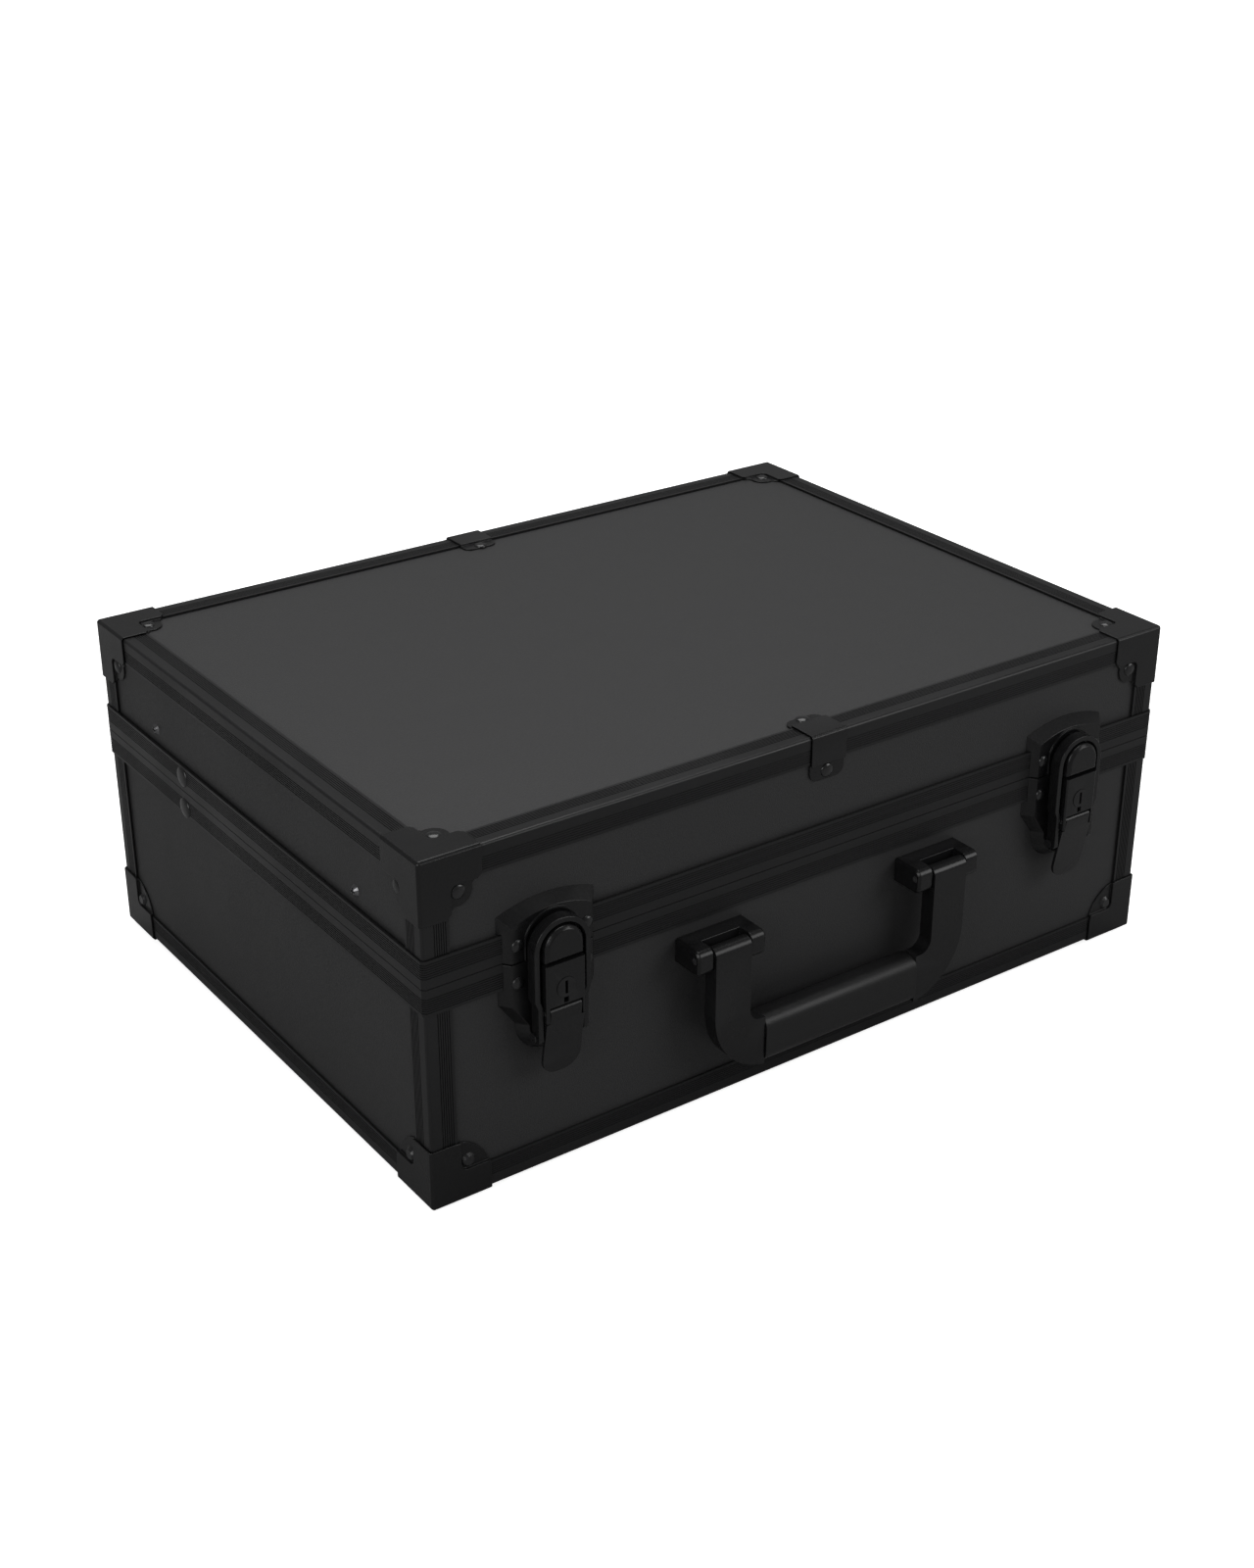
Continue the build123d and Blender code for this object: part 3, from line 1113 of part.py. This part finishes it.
def stay_bar(side, level, depth, elbow_head):
    """A bar from its pivot on the end wall to the elbow, with its half of the elbow rivet."""
    start = (Y_BACK - STAY_SET, PARTING + level)
    mid = ((start[0] + elbow_y) / 2, (start[1] + elbow_z) / 2)
    tilt = degrees(atan2(start[1] - elbow_z, start[0] - elbow_y))
    face = Plane((side * (HALF_W - depth), 0, 0), x_dir=(0, 1, 0), z_dir=(1, 0, 0))
    with BuildPart() as bar:
        with BuildSketch(face):
            with Locations(Location((mid[0], mid[1], 0), (0, 0, tilt))):
                SlotCenterToCenter(STAY_BAR_L, STAY_BAR_W)
            with Locations(start):
                Circle(STAY_PIVOT_R + PIN_PLAY, mode=Mode.SUBTRACT)
        extrude(amount=-side * STAY_BAR_T)
        with BuildSketch(face.offset(-side * STAY_BAR_T)):
            with Locations((elbow_y, elbow_z)):
                Circle(STAY_PIVOT_R + 1)
        extrude(amount=-side * elbow_head)
    return bar.part


for name, side in SIDES:
    save(stay_bar(side, STAY_LID_LEVEL, LID_BAR_OUT, STAY_PLAY - PIN_PLAY), f"{name}_stay_lid_arm")
    save(stay_bar(side, STAY_BASE_LEVEL, BASE_BAR_OUT, ELBOW_HEAD_H), f"{name}_stay_base_arm")

def stay_rivet(grip):
    """A pivot rivet with a round shank that the bar turns on."""
    with BuildPart() as piece:
        with BuildSketch():
            Circle(STAY_RIVET_HEAD_R)
        extrude(amount=RIVET_HEAD_H, taper=HEAD_TAPER)
        with BuildSketch():
            Circle(STAY_PIVOT_R)
        extrude(amount=-grip)
        with BuildSketch(Plane.XY.offset(-grip)):
            RegularPolygon(STAY_TAIL_R, SHANK_SIDES)
        extrude(amount=-RIVET_TAIL_H)
    return piece.part


for name, level, bar_depth in (("stay_lid_rivets", STAY_LID_LEVEL, LID_BAR_OUT),
                               ("stay_base_rivets", STAY_BASE_LEVEL, BASE_BAR_OUT)):
    with BuildPart() as stay_rivets:
        for side in (-1, 1):
            with Locations(*on(wall(side, RIM_DEPTH), [(side * stay_y, level)])):
                add(stay_rivet(bar_depth + STAY_BAR_T + PIN_PLAY - RIM_DEPTH))
    save(stay_rivets.part, name)
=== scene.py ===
import json
from math import cos, pi, radians, sin

import bmesh
import bpy
from mathutils import Matrix, Vector


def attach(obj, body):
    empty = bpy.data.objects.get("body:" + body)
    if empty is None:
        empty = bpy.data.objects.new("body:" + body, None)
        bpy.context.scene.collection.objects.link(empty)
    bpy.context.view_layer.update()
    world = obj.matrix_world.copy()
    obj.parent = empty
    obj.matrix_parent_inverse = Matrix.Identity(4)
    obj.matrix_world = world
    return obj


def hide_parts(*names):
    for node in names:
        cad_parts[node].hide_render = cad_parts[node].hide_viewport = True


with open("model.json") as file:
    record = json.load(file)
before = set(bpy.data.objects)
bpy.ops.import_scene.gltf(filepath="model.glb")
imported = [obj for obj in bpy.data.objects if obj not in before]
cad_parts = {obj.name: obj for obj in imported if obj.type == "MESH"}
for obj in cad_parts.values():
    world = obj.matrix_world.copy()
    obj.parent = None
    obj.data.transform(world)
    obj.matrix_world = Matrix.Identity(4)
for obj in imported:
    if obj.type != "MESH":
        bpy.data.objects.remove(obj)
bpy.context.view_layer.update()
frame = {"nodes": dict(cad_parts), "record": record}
nodes = frame["nodes"]
MM = 0.001

# The case, in millimetres
FRONT_Y = -158.8
BACK_Y = 171.2
PARTING = 120.0
BOTTOM_Z = 3.0
HALF_W = 225.0
WALL_BAND = 14.0

# Roundings and fasteners, in millimetres
FOAM_ROUND = 0.9
ROUND_STEPS = 3
HEAD_H = 1.3
TAIL_H = 1.0
RIVET_R = 1.6
STAY_RIVET_R = 2.0
LEVEL_PLAY = 0.05
HEAD_STEPS = 7
RING_SIDES = 28

# The range that the noise patterns mostly keep to, and the one where an edge gets a painted highlight
NOISE_LOW = 0.3
NOISE_HIGH = 0.7
POINTED_LOW = 0.52
POINTED_HIGH = 0.62
CLOUD_SCALE = 14.0
GRAIN_LIFT = 0.0004

# The camera: its turn and rise in degrees, lens and sensor in millimetres, places in case widths
CASE_W = 0.45
CAMERA_TURN = -35.35
CAMERA_RISE = 26.50
LENS = 51.95
SENSOR = 36.0
AIM = (0.5, 0.36, 0.15)
AIM_LEFT = 0.0041
AIM_UP = 0.0381
CAMERA_AWAY = 2.735

# The studio, in metres
LIGHT_AIM = (0, 0, 0.09)
AMBIENT = 0.22
FLOOR_R = 14
FLOOR_NEAR = 0.45
FLOOR_FAR = 1.4


def material(name, color, roughness, metallic=0.0, scale=900.0, bump=0.15, spread=0.35,
             vary=0.25, edge_highlight=0.0, stretch=None, sheen=0.0, specular=0.5):
    """A procedural finish: grain, blotches in colour and gloss, and a painted highlight that lightens sharp
    edges in patches.
    """
    mat = bpy.data.materials.new(name)
    mat.use_nodes = True
    tree = mat.node_tree
    tree.nodes.clear()
    out = tree.nodes.new("ShaderNodeOutputMaterial")
    shader = tree.nodes.new("ShaderNodeBsdfPrincipled")
    tree.links.new(shader.outputs["BSDF"], out.inputs["Surface"])
    shader.inputs["Metallic"].default_value = metallic
    shader.inputs["Sheen Weight"].default_value = sheen
    shader.inputs["Specular IOR Level"].default_value = specular
    place = tree.nodes.new("ShaderNodeTexCoord")
    spot = place.outputs["Object"]
    if stretch:
        mapping = tree.nodes.new("ShaderNodeMapping")
        mapping.inputs["Scale"].default_value = stretch
        tree.links.new(spot, mapping.inputs["Vector"])
        spot = mapping.outputs["Vector"]
    grain = tree.nodes.new("ShaderNodeTexNoise")
    grain.inputs["Scale"].default_value = scale
    grain.inputs["Detail"].default_value = 4.0
    tree.links.new(spot, grain.inputs["Vector"])
    cloud = tree.nodes.new("ShaderNodeTexNoise")
    cloud.inputs["Scale"].default_value = CLOUD_SCALE
    cloud.inputs["Detail"].default_value = 3.0
    tree.links.new(place.outputs["Object"], cloud.inputs["Vector"])
    # Roughness drifts with the blotches; the grain's sparkle comes from the bump further down
    gloss = tree.nodes.new("ShaderNodeMapRange")
    gloss.inputs["From Min"].default_value = NOISE_LOW
    gloss.inputs["From Max"].default_value = NOISE_HIGH
    gloss.inputs["To Min"].default_value = max(0.05, roughness - spread / 4)
    gloss.inputs["To Max"].default_value = min(1.0, roughness + spread / 4)
    tree.links.new(cloud.outputs["Fac"], gloss.inputs["Value"])
    tree.links.new(gloss.outputs["Result"], shader.inputs["Roughness"])
    # Colour drifts a little between a darker and a lighter tone
    ramp = tree.nodes.new("ShaderNodeValToRGB")
    dark = [c * (1 - vary) for c in color]
    light = [c * (1 + vary) for c in color]
    ramp.color_ramp.elements[0].position = NOISE_LOW
    ramp.color_ramp.elements[0].color = (*dark, 1)
    ramp.color_ramp.elements[1].position = NOISE_HIGH
    ramp.color_ramp.elements[1].color = (*light, 1)
    tree.links.new(grain.outputs["Fac"], ramp.inputs["Fac"])
    tone = ramp.outputs["Color"]
    # Painted highlight: sharp edges are lightened where the blotch noise is high, standing in for light
    # catching the edges
    if edge_highlight:
        edge = tree.nodes.new("ShaderNodeNewGeometry")
        sharp = tree.nodes.new("ShaderNodeMapRange")
        sharp.inputs["From Min"].default_value = POINTED_LOW
        sharp.inputs["From Max"].default_value = POINTED_HIGH
        tree.links.new(edge.outputs["Pointiness"], sharp.inputs["Value"])
        painted_highlight = tree.nodes.new("ShaderNodeMath")
        painted_highlight.operation = "MULTIPLY"
        tree.links.new(sharp.outputs["Result"], painted_highlight.inputs[0])
        tree.links.new(cloud.outputs["Fac"], painted_highlight.inputs[1])
        mix = tree.nodes.new("ShaderNodeMixRGB")
        mix.inputs["Color2"].default_value = (*[min(1, c * (1 + edge_highlight)) for c in color], 1)
        tree.links.new(painted_highlight.outputs["Value"], mix.inputs["Fac"])
        tree.links.new(tone, mix.inputs["Color1"])
        tone = mix.outputs["Color"]
    tree.links.new(tone, shader.inputs["Base Color"])
    lift = tree.nodes.new("ShaderNodeBump")
    lift.inputs["Strength"].default_value = bump
    lift.inputs["Distance"].default_value = GRAIN_LIFT
    tree.links.new(grain.outputs["Fac"], lift.inputs["Height"])
    tree.links.new(lift.outputs["Normal"], shader.inputs["Normal"])
    return mat


BLACK = (0.006, 0.006, 0.0063)
finish = {
    "board": material("board_laminate", (0.023, 0.023, 0.0236), 0.55, scale=1400, bump=0.3, spread=0.12,
                      specular=0.4),
    "anodised": material("black_anodised", (0.006, 0.006, 0.0063), 0.38, scale=1200, bump=0.08, edge_highlight=1.2,
                         specular=0.3),
    "pressed": material("pressed_black", BLACK, 0.3, scale=800, bump=0.1, edge_highlight=1.5, specular=0.3),
    "hardware": material("hardware_black", BLACK, 0.28, scale=700, bump=0.1, edge_highlight=1.5, specular=0.3),
    "rivet": material("rivet_black", (0.008, 0.008, 0.0085), 0.24, scale=600, bump=0.08, edge_highlight=1.0),
    "screw": material("screw_steel", (0.16, 0.16, 0.165), 0.28, metallic=1.0, scale=900, bump=0.05),
    "steel": material("plain_steel", (0.42, 0.42, 0.43), 0.3, metallic=1.0, scale=900, bump=0.06,
                      stretch=(6, 0.3, 6)),
    "lining": material("foam_lining", (0.03, 0.03, 0.032), 0.9, scale=2200, bump=0.9, sheen=0.3, vary=0.4),
    "rubber": material("foot_rubber", (0.016, 0.016, 0.016), 0.75, scale=1100, bump=0.3),
    "grip": material("grip_plastic", (0.007, 0.007, 0.0073), 0.42, scale=1500, bump=0.25, specular=0.35),
}
for row in frame["record"]["subparts"]:
    piece = nodes[row["node"]]
    piece.data.materials.clear()
    piece.data.materials.append(finish[row["material_slot"]])


def new_piece(name, mesh, body, slot, replaced=()):
    """A scene piece that rides on a body and takes a finish."""
    obj = bpy.data.objects.new(name, mesh)
    bpy.context.scene.collection.objects.link(obj)
    mesh.materials.clear()
    mesh.materials.append(finish[slot])
    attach(obj, body)
    if replaced:
        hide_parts(*replaced)
    return obj


def lining(name, node, body):
    """Foam with rounded edges and a slightly uneven face, in the place of its plain solid."""
    mesh = nodes[node].data.copy()
    mesh.name = name
    bm = bmesh.new()
    bm.from_mesh(mesh)
    bmesh.ops.remove_doubles(bm, verts=bm.verts, dist=1e-6)
    bmesh.ops.dissolve_limit(bm, angle_limit=radians(1), verts=bm.verts, edges=bm.edges)
    sharp = [e for e in bm.edges if len(e.link_faces) == 2 and e.calc_face_angle(0) > radians(30)]
    bmesh.ops.bevel(bm, geom=sharp, offset=FOAM_ROUND * MM, segments=ROUND_STEPS, affect="EDGES", profile=0.5)
    bmesh.ops.triangulate(bm, faces=bm.faces)
    bm.to_mesh(mesh)
    bm.free()
    for polygon in mesh.polygons:
        polygon.use_smooth = False
    obj = new_piece(name, mesh, body, "lining", (node,))


lining("base_foam", "base_lining", "base_shell")
lining("lid_foam", "lid_lining", "lid_shell")


def soften(node, body, slot, width):
    """The node's own form with its sharp edges rounded as pressed and moulded metal has them."""
    mesh = nodes[node].data.copy()
    mesh.name = node + "_finished"
    bm = bmesh.new()
    bm.from_mesh(mesh)
    bmesh.ops.remove_doubles(bm, verts=bm.verts, dist=1e-6)
    bmesh.ops.dissolve_limit(bm, angle_limit=radians(0.8), verts=bm.verts, edges=bm.edges)
    bm.to_mesh(mesh)
    bm.free()
    mesh.shade_smooth()
    obj = new_piece(node + "_finished", mesh, body, slot, (node,))
    round_off = obj.modifiers.new("rounding", "BEVEL")
    round_off.width = width
    round_off.segments = ROUND_STEPS
    round_off.limit_method = "ANGLE"
    round_off.angle_limit = radians(28)
    round_off.harden_normals = False
    round_off.use_clamp_overlap = True
    even = obj.modifiers.new("even_faces", "WEIGHTED_NORMAL")
    even.keep_sharp = False
    return obj


BODY_OF = {node: name for name, members in frame["record"]["behaviour"]["bodies"].items() for node in members}
SLOT_OF = {row["node"]: row["material_slot"] for row in frame["record"]["subparts"]}
ROUNDED = {"lid_corner_caps": 0.35, "base_corner_caps": 0.35, "lid_edge_clamps": 0.3, "handle_frame": 1.6,
           "handle_grip": 0.8}
for side in ("left", "right"):
    ROUNDED.update({f"{side}_latch_strike": 0.4, f"{side}_latch_base_plate": 0.4, f"{side}_latch_catch": 0.5,
                    f"{side}_lock_housing": 0.3, f"{side}_latch_lever": 0.5, f"{side}_latch_bail": 1.2,
                    f"{side}_handle_bracket": 0.9})
for node, width in ROUNDED.items():
    soften(node, BODY_OF[node], SLOT_OF[node], width * MM)


def islands(mesh):
    """Groups of vertices that hang together."""
    bm = bmesh.new()
    bm.from_mesh(mesh)
    bmesh.ops.remove_doubles(bm, verts=bm.verts, dist=1e-6)
    seen = set()
    groups = []
    for start in bm.verts:
        if start in seen:
            continue
        seen.add(start)
        stack = [start]
        group = []
        while stack:
            vert = stack.pop()
            group.append(vert.co.copy())
            for edge in vert.link_edges:
                other = edge.other_vert(vert)
                if other not in seen:
                    seen.add(other)
                    stack.append(other)
        groups.append(group)
    bm.free()
    return groups


def outward(low, high):
    """The wall that a fastener sits on, as the direction that its head faces."""
    mid = (low + high) / 2 / MM
    if abs(mid.x) > HALF_W - WALL_BAND:
        return Vector((1 if mid.x > 0 else -1, 0, 0))
    if mid.y < FRONT_Y + WALL_BAND:
        return Vector((0, -1, 0))
    if mid.y > BACK_Y - WALL_BAND:
        return Vector((0, 1, 0))
    return Vector((0, 0, 1 if mid.z > PARTING else -1))


def domed(node, shank_r):
    """Round-headed fasteners in the places of a node's plain ones."""
    bm = bmesh.new()
    for group in islands(nodes[node].data):
        low = Vector([min(co[i] for co in group) for i in range(3)])
        high = Vector([max(co[i] for co in group) for i in range(3)])
        axis = outward(low, high)
        mid = (low + high) / 2
        along = [(co - mid).dot(axis) for co in group]
        top, end = max(along) / MM, min(along) / MM
        side = axis.orthogonal().normalized()
        other = axis.cross(side)
        reach = [max(abs((co - mid).dot(side)), abs((co - mid).dot(other))) for co in group]
        head = [r for r, a in zip(reach, along) if a / MM > top - HEAD_H - LEVEL_PLAY]
        tail = [r for r, a in zip(reach, along) if a / MM < end + TAIL_H + LEVEL_PLAY]
        head_r, tail_r = max(head) / MM, max(tail) / MM
        seat = top - HEAD_H
        turns = [pi / 2 * i / HEAD_STEPS for i in range(HEAD_STEPS + 1)]
        profile = [(head_r * sin(turn), seat + HEAD_H * cos(turn)) for turn in turns]
        profile += [(head_r, seat), (shank_r, seat), (shank_r, end + TAIL_H), (tail_r, end + TAIL_H)]
        profile += [(tail_r, end), (0, end)]
        rings = []
        for radius, level in profile:
            if radius < 1e-6:
                rings.append([bm.verts.new(mid + axis * level * MM)])
                continue
            rings.append([bm.verts.new(mid + (axis * level + (side * cos(t) + other * sin(t)) * radius) * MM)
                          for t in [2 * pi * k / RING_SIDES for k in range(RING_SIDES)]])
        for a, b in zip(rings, rings[1:]):
            for k in range(RING_SIDES):
                n = (k + 1) % RING_SIDES
                corners = [a[k % len(a)], a[n % len(a)], b[n % len(b)], b[k % len(b)]]
                unique = list(dict.fromkeys(corners))
                bm.faces.new(unique)
    bmesh.ops.recalc_face_normals(bm, faces=bm.faces)
    mesh = bpy.data.meshes.new(node + "_domed")
    bm.to_mesh(mesh)
    bm.free()
    mesh.shade_smooth()
    obj = new_piece(node + "_domed", mesh, BODY_OF[node], SLOT_OF[node], (node,))
    keep = obj.modifiers.new("crisp_edges", "EDGE_SPLIT")
    keep.split_angle = radians(50)


for node in ("lid_rivets", "lid_latch_rivets", "base_latch_rivets"):
    domed(node, RIVET_R)
domed("stay_lid_rivets", STAY_RIVET_R)
domed("stay_base_rivets", STAY_RIVET_R)

# Camera at the photograph's viewing angle, worked out from the edges of the case
turn = radians(CAMERA_TURN)
rise = radians(CAMERA_RISE)
target = Vector((-HALF_W * MM, FRONT_Y * MM, BOTTOM_Z * MM)) + Vector(AIM) * CASE_W
right = Vector((cos(turn), sin(turn), 0))
behind = Vector((sin(turn) * cos(rise), -cos(turn) * cos(rise), sin(rise)))
above = behind.cross(right)
eye = target - right * AIM_LEFT * CASE_W + above * AIM_UP * CASE_W + behind * CAMERA_AWAY * CASE_W
lens = bpy.data.cameras.new("camera")
lens.sensor_fit = "VERTICAL"
lens.sensor_height = SENSOR
lens.lens = LENS
camera = bpy.data.objects.new("camera", lens)
bpy.context.scene.collection.objects.link(camera)
camera.matrix_world = Matrix((
    (right.x, above.x, behind.x, eye.x),
    (right.y, above.y, behind.y, eye.y),
    (right.z, above.z, behind.z, eye.z),
    (0, 0, 0, 1),
))
bpy.context.scene.camera = camera


def softbox(name, place, size, power):
    """A square studio light aimed at the case."""
    data = bpy.data.lights.new(name, "AREA")
    data.shape = "SQUARE"
    data.size = size
    data.energy = power
    light = bpy.data.objects.new(name, data)
    bpy.context.scene.collection.objects.link(light)
    light.location = place
    light.rotation_euler = (Vector(LIGHT_AIM) - Vector(place)).to_track_quat("-Z", "Y").to_euler()


softbox("overhead", (0.2, 0.5, 2.2), 1.8, 34)
softbox("front_right", (1.3, -1.6, 1.1), 1.2, 15)
softbox("front_left", (-1.9, -0.9, 1.0), 1.2, 14)

world = bpy.data.worlds.new("studio")
bpy.context.scene.world = world
world.use_nodes = True
wt = world.node_tree
wt.nodes.clear()
wout = wt.nodes.new("ShaderNodeOutputWorld")
soft = wt.nodes.new("ShaderNodeBackground")
soft.inputs["Color"].default_value = (1, 1, 1, 1)
soft.inputs["Strength"].default_value = AMBIENT
plain = wt.nodes.new("ShaderNodeBackground")
plain.inputs["Color"].default_value = (1, 1, 1, 1)
plain.inputs["Strength"].default_value = 1.0
seen = wt.nodes.new("ShaderNodeLightPath")
pick = wt.nodes.new("ShaderNodeMixShader")
wt.links.new(seen.outputs["Is Camera Ray"], pick.inputs["Fac"])
wt.links.new(soft.outputs["Background"], pick.inputs[1])
wt.links.new(plain.outputs["Background"], pick.inputs[2])
wt.links.new(pick.outputs["Shader"], wout.inputs["Surface"])
bpy.context.scene.view_settings.view_transform = "Standard"

# A pale floor that keeps the case's soft shadow, with painted light: it glows more the further it lies from
# the case
floor_mesh = bpy.data.meshes.new("floor")
bm = bmesh.new()
bmesh.ops.create_circle(bm, cap_ends=True, radius=FLOOR_R, segments=64)
bm.to_mesh(floor_mesh)
bm.free()
floor = bpy.data.objects.new("floor", floor_mesh)
bpy.context.scene.collection.objects.link(floor)
paint = bpy.data.materials.new("floor_paint")
paint.use_nodes = True
pt = paint.node_tree
pt.nodes.clear()
pout = pt.nodes.new("ShaderNodeOutputMaterial")
shown = pt.nodes.new("ShaderNodeBsdfPrincipled")
shown.inputs["Base Color"].default_value = (0.9, 0.9, 0.9, 1)
shown.inputs["Roughness"].default_value = 0.95
shown.inputs["Specular IOR Level"].default_value = 0.0
shown.inputs["Emission Color"].default_value = (1, 1, 1, 1)
# Painted light: for camera rays the floor glows, dimmer near the case and brighter far off, so it stays white
# where the lamps fall off
reach = pt.nodes.new("ShaderNodeTexCoord")
apart = pt.nodes.new("ShaderNodeVectorMath")
apart.operation = "LENGTH"
floor_glow = pt.nodes.new("ShaderNodeMapRange")
floor_glow.inputs["From Min"].default_value = FLOOR_NEAR
floor_glow.inputs["From Max"].default_value = FLOOR_FAR
floor_glow.inputs["To Min"].default_value = 0.8
floor_glow.inputs["To Max"].default_value = 1.05
pt.links.new(reach.outputs["Object"], apart.inputs[0])
pt.links.new(apart.outputs["Value"], floor_glow.inputs["Value"])
pt.links.new(floor_glow.outputs["Result"], shown.inputs["Emission Strength"])
bounce = pt.nodes.new("ShaderNodeBsdfDiffuse")
bounce.inputs["Color"].default_value = (0.35, 0.35, 0.35, 1)
by_camera = pt.nodes.new("ShaderNodeLightPath")
which = pt.nodes.new("ShaderNodeMixShader")
pt.links.new(by_camera.outputs["Is Camera Ray"], which.inputs["Fac"])
pt.links.new(bounce.outputs["BSDF"], which.inputs[1])
pt.links.new(shown.outputs["BSDF"], which.inputs[2])
pt.links.new(which.outputs["Shader"], pout.inputs["Surface"])
floor_mesh.materials.append(paint)
